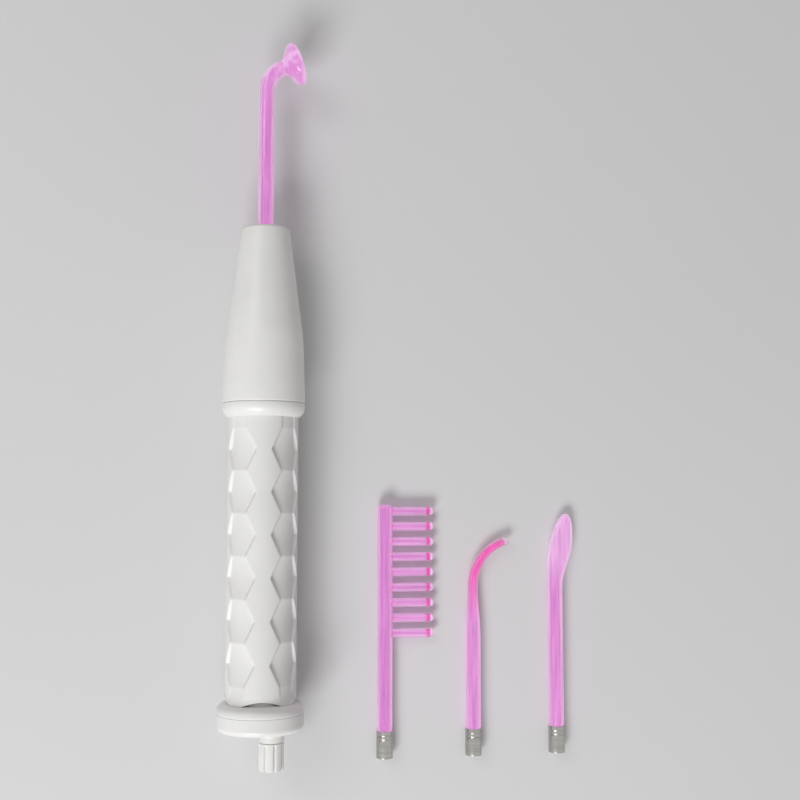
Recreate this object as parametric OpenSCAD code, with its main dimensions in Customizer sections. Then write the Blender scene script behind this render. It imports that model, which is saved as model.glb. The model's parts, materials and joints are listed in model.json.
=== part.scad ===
// A hand-held violet ray wand with four glass electrodes. The mushroom electrode is fitted in the nose.
// The comb, the bent point and the spoon lie beside the wand.
// Sizes are in millimetres. The wand is drawn upright, knob down, with its front towards -Y.
// It is then laid on its back on the ground plane, so that its nose points to +Y.

/* [Grip] */
// Diameter over the smooth strips of the grip
grip_d = 36; // [34:0.5:40]
// Length of the grip between the end cap and the nose collar
grip_len = 143.6; // [130:0.2:160]
// Height of the strips above the body of the grip
strip_rise = 0.6; // [0.4:0.1:1]
// Half width of a strip at its necks, as an angle about the axis
strip_neck = 13; // [10:1:18]
// Half width of a strip between its necks, as an angle about the axis
strip_wide = 30.5; // [26:0.5:34]
// Rows of hexagonal finger hollows
hex_rows = 6; // [4:1:8]
// Depth of a finger hollow at its middle
hex_depth = 1; // [0.6:0.1:1.4]
// Plain length above the top row of hollows
top_margin = 6; // [4:0.5:10]
// Plain length below the bottom row of hollows
bottom_margin = 9; // [6:0.5:12]
// Gap between the foot of each strip and the end cap
strip_gap = 2.4; // [1.5:0.1:4]
// Outward flare of the grip where it meets the end cap
flare = 1.4; // [0.8:0.1:2]
// Height of that flare
flare_h = 8.6; // [5:0.2:9]
// Wall left behind the hollows
grip_wall = 2.2; // [1.8:0.1:2.8]

/* [Nose] */
// Diameter of the collar and of the foot of the nose
collar_d = 42.8; // [41:0.2:44]
// Height of the collar
collar_h = 7.4; // [6.4:0.2:9]
// Radius of the curve that runs in under the collar
collar_round = 6; // [4.2:0.1:7]
// Diameter at the top of the tapered skirt
skirt_d = 41; // [40:0.2:42]
// Height of the tapered skirt
skirt_h = 29; // [25:1:34]
// Diameter at the foot of the cone
cone_d = 40.2; // [39:0.2:41]
// Height of the soft shoulder between skirt and cone
shoulder_h = 6; // [4:0.5:8]
// Height of the cone
cone_h = 57; // [52:1:62]
// Diameter of the nose at its tip
tip_d = 25.3; // [24:0.1:28]
// Edge radius at the tip
tip_round = 1.2; // [0.8:0.1:2]
// Wall of the nose shell
nose_wall = 2.5; // [2:0.1:3]

/* [End cap] */
// Diameter of the end cap
cap_d = 44.2; // [43:0.2:46]
// Height of the lid, up to the seam
lid_h = 8.8; // [8:0.2:11]
// Height of the ring above the seam
ring_h = 5.4; // [4.4:0.1:7]
// Edge radius at the top of the ring
ring_round = 3.6; // [2:0.1:4]
// Edge radius at the bottom of the lid
lid_round = 3; // [2:0.2:4]
// Wall of the lid
lid_wall = 2.5; // [2:0.1:3]
// Floor of the lid
lid_floor = 3; // [2.6:0.1:3.6]
// Chamfer on both edges of each visible seam
seam = 0.3; // [0.2:0.05:0.5]
// Bore of the cord inlet
inlet_bore = 6; // [5:0.2:6.4]

/* [Intensity knob] */
// Diameter of the fluted knob
knob_d = 12.5; // [11:0.5:13]
// Length of the fluted knob
knob_len = 13.7; // [11:0.5:18]
// Flutes round the knob
knob_flutes = 8; // [6:1:10]
// Distance of the knob from the axis of the wand
knob_offset = 5.8; // [5:0.1:6.4]
// Height of the boss that carries the knob
boss_h = 6; // [5:0.2:8]
// Fillet between the boss and the lid
boss_fillet = 3.4; // [2.6:0.2:3.8]
// Diameter of the knob's shaft
shaft_d = 6; // [5.4:0.1:7]

/* [Electrode base] */
// Outer diameter of the glass tubes
tube_d = 8.4; // [8:0.1:9]
// Wall of the glass
glass_wall = 1; // [0.8:0.1:1.2]
// Depth that an electrode goes into the nose
insert_depth = 32; // [28:1:36]
// Length of the metal ferrule
ferrule_len = 14; // [11:0.5:17]
// Wall of the metal ferrule
ferrule_wall = 0.7; // [0.5:0.1:0.9]
// Height of the ferrule above the glass
ferrule_rise = 0.2; // [0.15:0.05:0.4]

/* [Mushroom electrode] */
// Straight glass between the nose and the bend
stem_len = 74.8; // [60:0.2:85]
// Radius of the bend
stem_bend = 14; // [11:0.1:20]
// Angle of the bend
stem_angle = 70; // [55:1:80]
// Length from the bend to the middle of the rim
neck_len = 6.4; // [5:0.1:9]
// Diameter of the mushroom head
head_d = 22.8; // [20:0.2:26]
// Radius of the rolled rim of the head
rim_r = 2.8; // [2.4:0.1:3.2]

/* [Comb electrode] */
// Glass above the nose when it is fitted
comb_len = 101; // [92:1:110]
// Teeth
comb_teeth = 9; // [6:1:10]
// Distance between teeth
tooth_pitch = 8.1; // [7:0.1:9]
// Length of a tooth
tooth_len = 22.5; // [16:0.5:28]
// Diameter of a tooth
tooth_d = 4.9; // [4:0.1:5.4]

/* [Bent point electrode] */
// Full-width glass above the nose when it is fitted
point_len = 30; // [20:1:45]
// Length of the taper
taper_len = 27; // [15:0.5:34]
// Diameter of the thin end
point_d = 4.9; // [4.2:0.1:5.6]
// Radius of its bend
point_bend = 25; // [22:0.5:36]
// Angle of its bend
point_angle = 75; // [45:1:85]

/* [Spoon electrode] */
// Round glass above the nose when it is fitted
spoon_len = 58; // [45:1:70]
// Length of the flattened leaf
leaf_len = 38; // [30:0.5:46]
// Width of the leaf
leaf_w = 13.2; // [11:0.1:15]
// Thickness of the leaf
leaf_t = 7.4; // [6:0.1:8]
// Sideways lean of the leaf's tip
leaf_lean = 6.6; // [4:0.1:8]

/* [Layout] */
// Distance of the comb from the wand
comb_x = 66; // [52:1:80]
// Distance of the bent point from the comb
point_x = 48; // [42:1:60]
// Distance of the spoon from the bent point
spoon_x = 46; // [40:1:60]

/* [Works] */
// Wall of the inner tube
tube_wall = 1.25; // [1:0.05:1.5]
// Height of the contact bridge above the foot of the cap
bridge_z = 28; // [27:0.5:32]
// Height of the reed post above the bridge
post_h = 9.3; // [8:0.1:11]
// Gap between armature and pole at rest
pole_gap = 1.4; // [1.2:0.1:2]
// Length of the magnet bobbin
bobbin_h = 26; // [20:1:30]
// Length of the capacitor
capacitor_len = 35; // [28:1:40]
// Thickness of the felt wrap round the capacitor
wrap_t = 3; // [2:0.1:4]
// Radial thickness of the primary winding
primary_t = 2; // [1.5:0.1:2.5]
// Radial thickness of the secondary winding
secondary_t = 3; // [2.4:0.1:3.4]

/* [Hidden] */
$fn = 96;

// Gap of a seated joint, of a running or sliding fit, and between pieces that pass each other
seat = 0.05;
run = 0.05;
free = 0.3;
// Overlap that joins two shapes of one solid, or lets a cutter pass right through
bite = 0.5;

// Radii of the handle, from the outside in
strip_r = grip_d / 2;
body_r = strip_r - strip_rise;
bore_r = body_r - hex_depth - grip_wall;
tube_r = bore_r - seat;
tube_in = tube_r - tube_wall;
bay_r = tube_in - seat;
collar_r = collar_d / 2;
skirt_in = skirt_d / 2 - nose_wall;
spigot_r = skirt_in - seat;
cap_r = cap_d / 2;
lid_in = cap_r - lid_wall;
ring_spigot_r = lid_in - seat;

// Heights along the wand, from the foot of the lid
cap_top = lid_h + ring_h;
grip_top = cap_top + grip_len;
collar_top = grip_top + collar_h;
// Height of the curve under the collar, which runs in to the strips of the grip
collar_drop = collar_round * sin(acos(1 - (collar_r - strip_r) / collar_round));
skirt_top = collar_top + skirt_h;
cone_z = skirt_top + shoulder_h;
tip_z = cone_z + cone_h;
hex_pitch = (grip_len - top_margin - bottom_margin) / hex_rows;
hex_z = cap_top + bottom_margin;
spigot_h = 12;
ring_lift = 2.6;
tube_top = collar_top + spigot_h;
ring_foot = lid_floor + ring_lift;

// Slopes of cone and skirt, and the point where their lines meet inside the soft shoulder
cone_slope = (cone_d - tip_d) / 2 / cone_h;
skirt_slope = (collar_d - skirt_d) / 2 / skirt_h;
meet = ((skirt_d - cone_d) / 2 - skirt_slope * shoulder_h) / (cone_slope - skirt_slope);
meet_z = max(bite, min(shoulder_h - bite, meet));

// Electrode base, from its own foot
glass_r = tube_d / 2;
core_r = glass_r - glass_wall;
ferrule_r = glass_r + ferrule_rise;
ferrule_in = ferrule_r - ferrule_wall;
ferrule_floor = 2;
ferrule_edge = 0.4;
stub_r = ferrule_in - seat;
stub_in = stub_r - glass_wall;
stub_z = ferrule_floor + seat;
stub_taper = 2;
stub_bore = ferrule_len + stub_taper;
pin_r = 0.5;
pin_len = 12;
// Bead where two pieces of glass are melted together
weld = 0.12;
weld_len = 0.6;
point_r = point_d / 2;
tooth_r = tooth_d / 2;
comb_round = 1.6;
pip_r = 1.2;
pip_h = 0.6;

// Socket in the nose
lip_t = 4;
lip_z = tip_z - lip_t;
mouth_r = ferrule_r + free;
mouth_ring_t = 1.8;
mouth_ring_r = ferrule_r + mouth_ring_t;
mouth_ring_inset = 2.8;
mouth_ring_z = tip_z - mouth_ring_inset;
mouth_ring_h = 1.6;
electrode_z = tip_z - insert_depth;
cup_in = ferrule_r + run;
cup_wall = 1.5;
cup_r = cup_in + cup_wall;
cup_floor = 2;
cup_z = electrode_z - 2 * run - cup_floor;
cup_top = lip_z - free / 2;
bush_in = cup_r + run;
bush_wall = 2.4;
bush_r = bush_in + bush_wall;
bush_floor = 3;
bush_z = cup_z - run - bush_floor;
bush_hole = 2.8;
sleeve_in = bush_r + seat;
sleeve_wall = 1.8;
sleeve_r = sleeve_in + sleeve_wall;
sleeve_over = 4;
sleeve_foot = bush_z - sleeve_over;
tip_solid = 17;
cavity_top = tip_z - tip_solid;

// Interrupter
shaft_r = shaft_d / 2;
shaft_over = 3.6;
shaft_top = lid_floor + shaft_over;
knob_r = knob_d / 2;
knob_top = -boss_h - free;
knob_foot = knob_top - knob_len;
clip_z = lid_floor + free;
clip_t = 0.7;
clip_rim = 1.7;
clip_r = shaft_r + clip_rim;
groove_depth = 0.6;
groove_r = shaft_r - groove_depth;
flute_r = 0.9;
flute_stop = 1.4;
flute_turn = 13.5;
drive_r = 1.6;
drive_flat = 1;
drive_inset = 4.5;
drive_room = 1.5;
drive_z = knob_foot + drive_inset;
thread_r = 2;
thread_under = 6;
thread_z = bridge_z - thread_under;
bridge_t = 4;
bridge_top = bridge_z + bridge_t;
screw_bush_r = 3.2;
screw_bush_lip = 1;
screw_flange_r = 4;
screw_flange_h = 2;
post_top = bridge_top + post_h;
post_inset = 3.9;
hinge_x = post_inset - bay_r;
reed_t = 0.5;
reed_w = 7;
reed_gap = 0.2;
reed_z = post_top + reed_gap;
reed_tail = 2;
reed_end = 2.6;
armature_r = 4.5;
armature_t = 2;
contact_r = 1.4;
contact_h = 1;
contact_gap = 0.15;
contact_z = reed_z - contact_h;
pole_r = 4;
pole_z = reed_z + reed_t + armature_t + pole_gap;
pole_stand = 1.6;
bobbin_z = pole_z + pole_stand;
bobbin_room = 1.6;
bobbin_r = bay_r - bobbin_room;
bobbin_t = 1.5;
bobbin_wall = 1.2;
bobbin_hub_r = pole_r + bobbin_wall;
winding_sink = 0.8;
yoke_z = bobbin_z + bobbin_h + seat;
yoke_t = 4;
lead_r = 0.6;
lead_x = 3.5;
lead_inset = 2.2;
lead_y = bobbin_r - lead_inset;
block_w = 12.8;
block_t = 5.2;
block_h = 8;
block_inset = 2.6;
block_y = bay_r - block_inset - block_t;
terminal_screw_r = 1.5;
terminal_screw_h = 1.2;
capacitor_z = yoke_z + yoke_t + seat;
capacitor_r = bay_r - wrap_t;

// Resonator coil
former_z = capacitor_z + capacitor_len + seat;
terminal_h = 4;
spring_len = 10.8;
spring_r = 2;
spring_turns = 5;
wire_r = 0.35;
former_top = cup_z - run - spring_len - terminal_h;
flange_t = 3;
primary_room = 0.6;
primary_r = bay_r - primary_room;
primary_in = primary_r - primary_t;
primary_len = 24;
winding_gap = 0.4;
secondary_r = primary_in - winding_gap;
former_r = secondary_r - secondary_t;
former_wall = 2;
former_in = former_r - former_wall;

// Cord inlet and lid screws
gland_wall = 1;
gland_r = inlet_bore / 2 + gland_wall;
gland_rim = 0.6;
gland_head_r = gland_r + gland_rim;
gland_head_h = 1;
gland_nut_h = 2.4;
gland_nut_rim = 1.6;
gland_nut_r = gland_r + gland_nut_rim;
gland_x = knob_offset - knob_r - boss_fillet - free - gland_head_r;
screw_ring_r = (bore_r + ring_spigot_r) / 2;
screw_r = 1.25;
screw_head_r = 2.2;
screw_head_h = 1.6;
screw_slot = 0.7;
screw_boss_wall = 0.8;
screw_hold = 4;
screw_top = ring_foot + screw_hold;
screw_angles = [90, 270];

// Reach of the electrodes, and the place of everything on the ground plane
head_r = head_d / 2;
head_z = stem_len + stem_bend * sin(stem_angle) + neck_len * cos(stem_angle);
head_top = head_z + (head_r - rim_r) * sin(stem_angle) + rim_r;
tip_lean = 2.7;
leaf_x = leaf_lean - tip_lean;
belly_drop = 15.5;
leaf_tip_r = 3.1;
leaf_tip_h = 3.9;
set_len = tip_z + head_top - knob_foot;
set_w = cap_r + comb_x + point_x + spoon_x + leaf_x + leaf_w / 2;
wand_x = cap_r - set_w / 2;
wand_y = -set_len / 2 - knob_foot;
row_y = -set_len / 2;

function arc(cx, cy, r, a0, a1, steps = 10) =
    [for (i = [0:steps]) let (a = a0 + (a1 - a0) * i / steps) [cx + r * cos(a), cy + r * sin(a)]];

function curve(p, q, r, steps = 10) =
    [for (i = [0:steps]) let (t = i / steps) (1 - t) * (1 - t) * p + 2 * t * (1 - t) * q + t * t * r];

function cone_radius(z) = tip_d / 2 + cone_slope * (tip_z - z);

// Places a piece of the wand, drawn upright, on the ground plane
module on_wand() {
    translate([wand_x, wand_y, cap_r]) rotate([-90, 0, 0]) children();
}

// Places a piece of the fitted electrode, drawn from its own foot
module fitted() {
    on_wand() translate([0, 0, electrode_z]) children();
}

// Places a piece of a loose electrode, drawn from its own foot, at a distance x from the wand
module loose(x) {
    translate([wand_x + x, row_y, ferrule_r]) rotate([-90, 0, 0]) children();
}

module tube(outer, inner, z0, z1) {
    translate([0, 0, z0]) difference() {
        cylinder(r = outer, h = z1 - z0);
        translate([0, 0, -bite]) cylinder(r = inner, h = z1 - z0 + 2 * bite);
    }
}

module rod(r, z0, z1) {
    translate([0, 0, z0]) cylinder(r = r, h = z1 - z0);
}

// Half ball that stands on the XY plane
module dome(r) {
    rotate_extrude() intersection() {
        circle(r);
        square(r);
    }
}

// Glass tube that leaves the origin along +Z and bends towards +X
module bent_tube(r, inner, bend, angle) {
    translate([bend, 0, 0]) rotate([90, 0, 180]) rotate_extrude(angle = angle) translate([bend, 0])
        difference() {
            circle(r);
            circle(inner);
        }
}

module after_bend(bend, angle) {
    translate([bend * (1 - cos(angle)), 0, bend * sin(angle)]) rotate([0, angle, 0]) children();
}

// Shells of the handle

module nose_cone() {
    on_wand() color("white") rotate_extrude() polygon(concat(
        arc(tip_d / 2 - tip_round, tip_z - tip_round, tip_round, 90, asin(cone_slope)),
        curve([cone_d / 2, cone_z], [cone_d / 2 + cone_slope * meet_z, cone_z - meet_z],
            [skirt_d / 2, skirt_top]),
        [[collar_r, collar_top + seam],
        [collar_r - seam, collar_top],
        [skirt_in, collar_top],
        [skirt_in, skirt_top],
        [cone_radius(cavity_top) - nose_wall, cavity_top],
        [sleeve_r, cavity_top],
        [sleeve_r, sleeve_foot],
        [sleeve_in, sleeve_foot],
        [sleeve_in, lip_z],
        [mouth_r, lip_z],
        [mouth_r, mouth_ring_z - seat],
        [mouth_ring_r + seat, mouth_ring_z - seat],
        [mouth_ring_r + seat, mouth_ring_z + mouth_ring_h + seat],
        [mouth_r, mouth_ring_z + mouth_ring_h + seat],
        [mouth_r, tip_z]]
    ));
}

module collar_ring() {
    edge = collar_r - collar_round;
    on_wand() color("white") rotate_extrude() difference() {
        union() {
            translate([bore_r, grip_top]) square([strip_r - bore_r, collar_h]);
            translate([bore_r, grip_top + collar_drop])
                square([collar_r - bore_r, collar_h - collar_drop]);
            intersection() {
                translate([edge, grip_top + collar_drop]) circle(collar_round);
                translate([strip_r - bite, grip_top]) square([collar_r - strip_r + bite, collar_drop]);
            }
            translate([bore_r, collar_top - bite]) square([spigot_r - bore_r, spigot_h + bite]);
        }
        polygon([[collar_r - seam, collar_top], [collar_r, collar_top - seam],
            [collar_r + seam, collar_top - seam], [collar_r + seam, collar_top]]);
    }
}

// Outline of one strip: wide at the ends and between the hexes, narrow beside the middle of each hex
module strip_outline() {
    wide = strip_r * sin(strip_wide);
    neck = strip_r * sin(strip_neck);
    side = concat([[wide, cap_top + strip_gap]],
        [for (i = [0:hex_rows - 1], k = [0, 0.5]) [k == 0 ? wide : neck, hex_z + (i + k) * hex_pitch]],
        [[wide, hex_z + hex_rows * hex_pitch], [wide, grip_top]]);
    polygon(concat(side, [for (i = [len(side) - 1:-1:0]) [-side[i][0], side[i][1]]]));
}

module grip_sleeve() {
    hollow_r = (hex_pitch * hex_pitch / 4 + hex_depth * hex_depth) / (2 * hex_depth);
    flare_r = (flare_h * flare_h + flare * flare) / (2 * flare);
    notch_w = 2 * strip_r * sin(strip_wide);
    root = bore_r + grip_wall / 2;
    on_wand() color("white") difference() {
        union() {
            rotate_extrude() difference() {
                union() {
                    translate([bore_r, cap_top]) square([body_r - bore_r, grip_len]);
                    difference() {
                        translate([body_r - bite, cap_top]) square([flare + bite, flare_h]);
                        translate([body_r + flare_r, cap_top + flare_h]) circle(flare_r);
                    }
                }
                for (i = [0:hex_rows - 1])
                    translate([body_r - hex_depth + hollow_r, hex_z + (i + 0.5) * hex_pitch])
                        circle(hollow_r);
            }
            for (a = [0:90:270]) rotate([0, 0, a]) intersection() {
                rod(strip_r, cap_top, grip_top);
                translate([0, -root, 0]) rotate([90, 0, 0]) linear_extrude(strip_r) strip_outline();
            }
        }
        for (a = [0:90:270]) rotate([0, 0, a])
            translate([-notch_w / 2, -2 * strip_r, cap_top - bite])
                cube([notch_w, 2 * strip_r - root, strip_gap + bite]);
    }
}

module cap_ring() {
    edge = cap_r - ring_round;
    on_wand() color("white") difference() {
        rotate_extrude() difference() {
            union() {
                translate([bore_r, lid_h]) square([edge - bore_r, ring_h]);
                translate([bore_r, lid_h]) square([cap_r - bore_r, ring_h - ring_round]);
                intersection() {
                    translate([edge, cap_top - ring_round]) circle(ring_round);
                    translate([edge, lid_h]) square([ring_round, ring_h]);
                }
                translate([bore_r, ring_foot]) square([ring_spigot_r - bore_r, lid_h - ring_foot + bite]);
            }
            polygon([[cap_r - seam, lid_h], [cap_r, lid_h + seam], [cap_r + seam, lid_h + seam],
                [cap_r + seam, lid_h]]);
        }
        for (a = screw_angles) rotate([0, 0, a]) translate([screw_ring_r, 0, 0])
            rod(screw_r + seat, ring_foot - bite, screw_top + seat);
    }
}

module cap_lid() {
    edge = cap_r - lid_round;
    on_wand() color("white") difference() {
        union() {
            rotate_extrude() difference() {
                union() {
                    square([edge, lid_h]);
                    translate([0, lid_round]) square([cap_r, lid_h - lid_round]);
                    translate([edge, lid_round]) circle(lid_round);
                }
                translate([0, lid_floor]) square([lid_in, lid_h]);
                polygon([[cap_r - seam, lid_h], [cap_r, lid_h - seam], [cap_r + seam, lid_h - seam],
                    [cap_r + seam, lid_h]]);
            }
            for (a = screw_angles) rotate([0, 0, a]) translate([screw_ring_r, 0, 0])
                rod(screw_head_r + screw_boss_wall, lid_floor - bite, ring_foot - seat);
            translate([knob_offset, 0, 0]) rotate_extrude() difference() {
                union() {
                    translate([0, -boss_h]) square([knob_r, boss_h + bite]);
                    translate([0, -boss_fillet]) square([knob_r + boss_fillet, boss_fillet + bite]);
                }
                translate([knob_r + boss_fillet, -boss_fillet]) circle(boss_fillet);
            }
        }
        translate([knob_offset, 0, 0]) rod(shaft_r + run, -boss_h - bite, lid_floor + bite);
        translate([gland_x, 0, 0]) rod(gland_r + seat, -bite, lid_floor + bite);
        translate([gland_x, 0, 0]) rod(gland_head_r + seat, -bite, gland_head_h + seat);
        for (a = screw_angles) rotate([0, 0, a]) translate([screw_ring_r, 0, 0]) {
            rod(screw_r + free, -bite, ring_foot + bite);
            rod(screw_head_r + free, -bite, screw_head_h + seat);
        }
    }
}

module cap_screws() {
    on_wand() color("silver") for (a = screw_angles) rotate([0, 0, a]) translate([screw_ring_r, 0, 0])
        difference() {
            union() {
                rod(screw_head_r, 0, screw_head_h);
                rod(screw_r, screw_head_h - bite, screw_top);
            }
            translate([-screw_slot / 2, -screw_head_r - bite, -bite])
                cube([screw_slot, 2 * (screw_head_r + bite), screw_slot + bite]);
        }
}

module cord_gland() {
    on_wand() color("dimgray") translate([gland_x, 0, 0]) difference() {
        union() {
            rod(gland_head_r, 0, gland_head_h);
            rod(gland_r, gland_head_h - bite, lid_floor + gland_nut_h);
        }
        rod(inlet_bore / 2, -bite, lid_floor + gland_nut_h + bite);
    }
}

module gland_nut() {
    on_wand() color("dimgray") translate([gland_x, 0, lid_floor + seat]) difference() {
        cylinder(r = gland_nut_r, h = gland_nut_h - seat, $fn = 6);
        translate([0, 0, -bite]) cylinder(r = gland_r + seat, h = gland_nut_h + 2 * bite);
    }
}

module inner_tube() {
    on_wand() color("peru") tube(tube_r, tube_in, ring_foot, tube_top);
}

// Socket for the electrodes

module mouth_ring() {
    on_wand() color("dimgray") tube(mouth_ring_r, ferrule_r + run, mouth_ring_z, mouth_ring_z + mouth_ring_h);
}

module socket_bush() {
    on_wand() color("saddlebrown") difference() {
        rod(bush_r, bush_z, lip_z - seat);
        rod(bush_in, bush_z + bush_floor, lip_z + bite);
        rod(bush_hole, bush_z - bite, bush_z + bush_floor + bite);
    }
}

module socket_cup() {
    on_wand() color("goldenrod") difference() {
        rod(cup_r, cup_z, cup_top);
        rod(cup_in, cup_z + cup_floor, cup_top + bite);
    }
}

// A coil of round wire, drawn as a sweep of small rings along a helix
module contact_spring() {
    sides = 6;
    steps = 16 * spring_turns;
    rise = spring_len - 2 * wire_r;
    ring_points = [for (i = [0:steps], k = [0:sides - 1])
        let (a = 360 * spring_turns * i / steps, b = 360 * k / sides, r = spring_r + wire_r * cos(b))
            [r * cos(a), r * sin(a), wire_r + rise * i / steps + wire_r * sin(b)]];
    walls = [for (i = [0:steps - 1], k = [0:sides - 1])
        let (n = (k + 1) % sides)
            [i * sides + k, (i + 1) * sides + k, (i + 1) * sides + n, i * sides + n]];
    first_end = [for (k = [0:sides - 1]) k];
    last_end = [for (k = [sides - 1:-1:0]) steps * sides + k];
    on_wand() color("silver") translate([0, 0, former_top + terminal_h])
        polyhedron(ring_points, concat(walls, [first_end, last_end]));
}

// Resonator coil

module coil_terminal() {
    on_wand() color("goldenrod") {
        rod(former_r, former_top + seat, former_top + terminal_h - seat);
        rod(former_in - seat, former_top - terminal_h, former_top + terminal_h / 2);
    }
}

module coil_former() {
    on_wand() color("saddlebrown") difference() {
        union() {
            rod(former_r, former_z, former_top);
            rod(bay_r, former_z, former_z + flange_t);
            rod(bay_r, former_top - flange_t, former_top);
        }
        rod(former_in, former_z - bite, former_top + bite);
    }
}

module secondary_winding() {
    on_wand() color("sienna")
        tube(secondary_r, former_r + seat, former_z + flange_t + seat, former_top - flange_t - seat);
}

module primary_winding() {
    z0 = former_z + flange_t + seat;
    on_wand() color("sienna") tube(primary_r, primary_in, z0, z0 + primary_len);
}

module capacitor() {
    on_wand() color("khaki") rod(capacitor_r, capacitor_z, capacitor_z + capacitor_len);
}

module capacitor_wrap() {
    on_wand() color("gray") tube(bay_r, capacitor_r + seat, capacitor_z, capacitor_z + capacitor_len);
}

// Interrupter

module magnet_yoke() {
    on_wand() color("slategray") tube(bay_r, pole_r + seat, yoke_z, yoke_z + yoke_t);
}

module magnet_core() {
    on_wand() color("slategray") rod(pole_r, pole_z, yoke_z + yoke_t);
}

module magnet_bobbin() {
    on_wand() color("black") difference() {
        union() {
            rod(bobbin_hub_r, bobbin_z, bobbin_z + bobbin_h);
            rod(bobbin_r, bobbin_z, bobbin_z + bobbin_t);
            rod(bobbin_r, bobbin_z + bobbin_h - bobbin_t, bobbin_z + bobbin_h);
        }
        rod(pole_r + seat, bobbin_z - bite, bobbin_z + bobbin_h + bite);
    }
}

module magnet_winding() {
    on_wand() color("sienna") tube(bobbin_r - winding_sink, bobbin_hub_r + seat,
        bobbin_z + bobbin_t + seat, bobbin_z + bobbin_h - bobbin_t - seat);
}

module hookup_leads() {
    on_wand() color("firebrick") for (x = [-lead_x, lead_x]) translate([x, lead_y, 0])
        rod(lead_r, bridge_top + seat, bobbin_z - seat);
}

module contact_bridge() {
    on_wand() color("saddlebrown") difference() {
        rod(bay_r, bridge_z, bridge_top);
        translate([knob_offset, 0, 0]) rod(screw_bush_r + seat, bridge_z - bite, bridge_top + bite);
    }
}

module screw_bush() {
    on_wand() color("goldenrod") translate([knob_offset, 0, 0]) difference() {
        union() {
            rod(screw_bush_r, bridge_z - bite, bridge_top + screw_bush_lip);
            rod(screw_flange_r, bridge_z - screw_flange_h, bridge_z - seat);
        }
        rod(thread_r + run, bridge_z - screw_flange_h - bite, bridge_top + screw_bush_lip + bite);
    }
}

module reed_post() {
    on_wand() color("goldenrod") translate([hinge_x - reed_tail, -reed_w / 2, bridge_top + seat])
        cube([2 * reed_tail, reed_w, post_h - seat]);
}

module terminal_block() {
    on_wand() color("ivory") translate([-block_w / 2, block_y, bridge_z - block_h])
        cube([block_w, block_t, block_h - seat]);
}

module terminal_screws() {
    top = bridge_z - block_h;
    on_wand() color("silver") for (x = [-block_w / 4, block_w / 4])
        translate([x, block_y + block_t / 2, 0])
            rod(terminal_screw_r, top - terminal_screw_h, top - seat);
}

module intensity_knob() {
    flute_top = knob_top - flute_stop;
    on_wand() color("white") translate([knob_offset, 0, 0]) difference() {
        union() {
            rod(knob_r, knob_foot, knob_top);
            rod(shaft_r, knob_top - bite, shaft_top);
        }
        for (i = [0:knob_flutes - 1]) rotate([0, 0, flute_turn + 360 * i / knob_flutes])
            translate([knob_r, 0, 0]) rod(flute_r, knob_foot - bite, flute_top);
        tube(shaft_r + bite, groove_r, clip_z - seat, clip_z + clip_t + seat);
        intersection() {
            rod(drive_r + run, drive_z - drive_room, shaft_top + bite);
            translate([-2 * drive_r, -drive_r - bite, knob_foot])
                cube([2 * drive_r + drive_flat + run, 2 * (drive_r + bite), shaft_top - knob_foot + bite]);
        }
    }
}

module knob_clip() {
    on_wand() color("silver") translate([knob_offset, 0, 0]) difference() {
        tube(clip_r, groove_r + seat, clip_z, clip_z + clip_t);
        translate([0, -groove_r, clip_z - bite]) cube([clip_r + bite, 2 * groove_r, clip_t + 2 * bite]);
    }
}

module adjusting_screw() {
    on_wand() color("goldenrod") translate([knob_offset, 0, 0]) {
        intersection() {
            rod(drive_r, drive_z, thread_z + bite);
            translate([-2 * drive_r, -drive_r - bite, drive_z])
                cube([2 * drive_r + drive_flat, 2 * (drive_r + bite), thread_z - drive_z + bite]);
        }
        rod(thread_r, thread_z, contact_z - contact_h);
        rod(contact_r, contact_z - contact_h - bite, contact_z - contact_gap);
    }
}

module reed_spring() {
    on_wand() color("silver") translate([hinge_x - reed_tail, -reed_w / 2, reed_z])
        cube([knob_offset + reed_end - hinge_x + reed_tail, reed_w, reed_t]);
}

module armature_plate() {
    on_wand() color("slategray") rod(armature_r, reed_z + reed_t + seat, reed_z + reed_t + armature_t);
}

module moving_contact() {
    on_wand() color("gainsboro") translate([knob_offset, 0, 0]) rod(contact_r, contact_z, reed_z - seat);
}

// Glass electrodes, each drawn from its own foot

// Half outline of the foot and the straight tube, up to the given height
function foot_outline(h) = [[0, stub_z], [stub_r, stub_z], [stub_r, ferrule_len + seat],
    [glass_r, ferrule_len + seat], [glass_r, h]];

// Half outline of the hollow inside them
function hollow_outline(h) = [[0, 0], [stub_in, 0], [stub_in, ferrule_len], [core_r, stub_bore],
    [core_r, h]];

module ferrule() {
    color("goldenrod") {
        difference() {
            rotate_extrude() polygon([[0, 0], [ferrule_r - ferrule_edge, 0], [ferrule_r, ferrule_edge],
                [ferrule_r, ferrule_len - ferrule_edge / 2], [ferrule_r - ferrule_edge / 2, ferrule_len],
                [0, ferrule_len]]);
            rod(ferrule_in, ferrule_floor, ferrule_len + bite);
        }
        rod(pin_r, ferrule_floor - bite, ferrule_floor + pin_len);
    }
}

// Half outline of the mushroom head for a stem radius r and a rim radius e, above the end of the bend
function head_outline(r, e) =
    let (back = -60, c = head_r - rim_r, dome = 0.8,
        foot = [c + e * cos(back), neck_len + e * sin(back)],
        knee = max(0, foot[1] - (foot[0] - r) * tan(90 + back)))
    concat([[0, -weld_len], [r, -weld_len]], curve([r, 0], [r, knee], foot), arc(c, neck_len, e, back, 90),
        curve([c, neck_len + e], [c / 2, neck_len + e + dome], [0, neck_len + e + dome]));

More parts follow.
